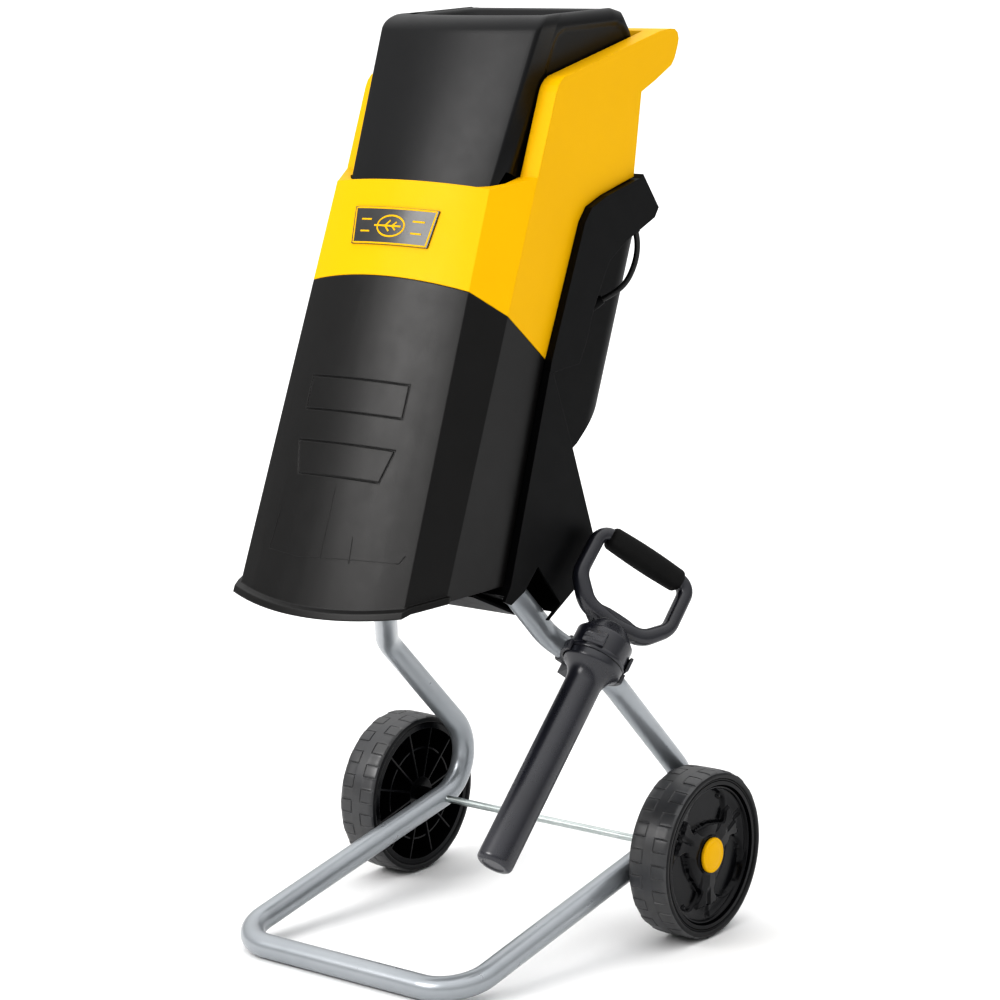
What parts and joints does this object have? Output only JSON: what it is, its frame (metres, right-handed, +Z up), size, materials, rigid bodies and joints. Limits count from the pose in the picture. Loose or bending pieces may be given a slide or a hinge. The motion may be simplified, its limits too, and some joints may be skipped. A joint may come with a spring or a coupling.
{
  "type": "wood chipper",
  "caption": "Upright electric garden chipper: lift-off hopper over a belt-driven knife disc, chip chute, wheeled tube stand and a clipped feeding plunger.",
  "frame": {"origin": "on the floor, midway between the wheels, straight below the wheel axle", "axes": "+Z up, -Y towards the machine's front (chip outlet side), +X to the machine's left hand, which is the right as seen from the front"},
  "size_m": [0.4374, 0.48, 0.9549],
  "materials": {
    "tube_paint": "satin silver-grey paint",
    "zinc": "bright zinc plate",
    "tyre": "matt rubber",
    "black_moulded": "grained black moulding",
    "yellow_moulded": "semi-gloss yellow moulding",
    "grey_front": "fine-grained dark grey moulding",
    "badge": "dark plate with a thin plain border",
    "steel": "machined steel",
    "tool_steel": "ground hardened steel",
    "cast": "as-cast aluminium",
    "belt": "moulded rubber",
    "laminations": "varnished steel laminations",
    "copper": "enamelled copper",
    "carbon": "graphite",
    "phenolic": "brown phenolic",
    "red_moulded": "gloss red moulding",
    "green_moulded": "gloss green moulding",
    "soft_grip": "soft grained elastomer",
    "cable": "smooth flexible sheath"
  },
  "bodies": {
    "root": {"stand_tube": "tube_paint", "axle_rod": "zinc", "axle_spacers": "black_moulded", "axle_push_nuts": "zinc", "front_cover": "grey_front", "rear_housing": "black_moulded", "lower_rear_cover": "black_moulded", "motor_cover": "black_moulded", "leg_brackets": "black_moulded", "leg_bolts": "zinc", "chute_wall": "black_moulded", "chopping_chamber": "cast", "drive_screws": "zinc", "counter_blade": "tool_steel", "bearing_housing": "cast", "ball_bearings": "steel", "drive_belt": "belt", "motor_plate": "cast", "motor_drive_bell": "cast", "motor_brush_bell": "cast", "motor_frame": "steel", "stator_core": "laminations", "field_coils": "copper", "brush_holders": "phenolic", "carbon_brushes": "carbon", "safety_switch": "black_moulded", "rocker_frame": "black_moulded", "power_inlet": "black_moulded", "inlet_pins": "zinc", "motor_lead": "cable", "lead_glands": "black_moulded", "plunger_holder": "black_moulded"},
    "wheel_right": {"tyre_right": "tyre", "hub_right": "black_moulded", "hub_cap_right": "yellow_moulded"},
    "wheel_left": {"tyre_left": "tyre", "hub_left": "black_moulded", "hub_cap_left": "yellow_moulded"},
    "hopper_unit": {"upper_cover": "yellow_moulded", "hopper": "grey_front", "badge_plate": "badge", "interlock_key": "yellow_moulded"},
    "lock_screw": {"lock_knob": "black_moulded", "lock_stud": "zinc"},
    "cutter": {"knife_disc": "steel", "knives": "tool_steel", "disc_fasteners": "zinc", "disc_shaft": "steel", "disc_pulley": "cast"},
    "motor_rotor": {"armature_shaft": "steel", "armature_core": "laminations", "armature_copper": "copper", "motor_fan": "black_moulded", "motor_pulley": "steel"},
    "main_switch": {"rocker_switch": "green_moulded"},
    "overload_reset": {"reset_button": "red_moulded"},
    "plunger": {"plunger_shaft": "black_moulded", "plunger_handle": "black_moulded", "plunger_grip": "soft_grip"}
  },
  "joints": [
    {"name": "wheel_right_spin", "type": "hinge", "parent": "root", "child": "wheel_right", "pos_m": [0, 0, 0.0885], "axis": [1, 0, 0], "continuous": true},
    {"name": "wheel_left_spin", "type": "hinge", "parent": "root", "child": "wheel_left", "pos_m": [0, 0, 0.0885], "axis": [1, 0, 0], "continuous": true},
    {"name": "hopper_lift", "type": "slide", "parent": "root", "child": "hopper_unit", "axis": [0, 0.342, 0.9397], "range_m": [0, 0.2]},
    {"name": "lock_screw_turn", "type": "hinge", "parent": "hopper_unit", "child": "lock_screw", "pos_m": [0, 0.00226, 0.7928], "axis": [0, 0.342, 0.9397], "range_deg": [0, 720]},
    {"name": "disc_spin", "type": "hinge", "parent": "root", "child": "cutter", "pos_m": [0, -0.10325, 0.80992], "axis": [0, 0.342, 0.9397], "continuous": true},
    {"name": "motor_spin", "type": "hinge", "parent": "root", "child": "motor_rotor", "pos_m": [0, -0.03521, 0.62553], "axis": [0, 0.342, 0.9397], "continuous": true},
    {"name": "switch_rock", "type": "hinge", "parent": "root", "child": "main_switch", "pos_m": [0.062, 0.00125, 0.76965], "axis": [1, 0, 0], "range_deg": [0, 10]},
    {"name": "reset_press", "type": "slide", "parent": "root", "child": "overload_reset", "axis": [0, -0.7848, -0.6198], "range_m": [0, 0.004], "stiffness_N_per_m": 300, "springref_m": -0.002},
    {"name": "plunger_draw", "type": "slide", "parent": "root", "child": "plunger", "axis": [0, 0.6884, 0.7254], "range_m": [0, 0.25]}
  ],
  "couplings": [
    {"joint": "motor_spin", "follows": "disc_spin", "ratio": 2.9342}
  ]
}
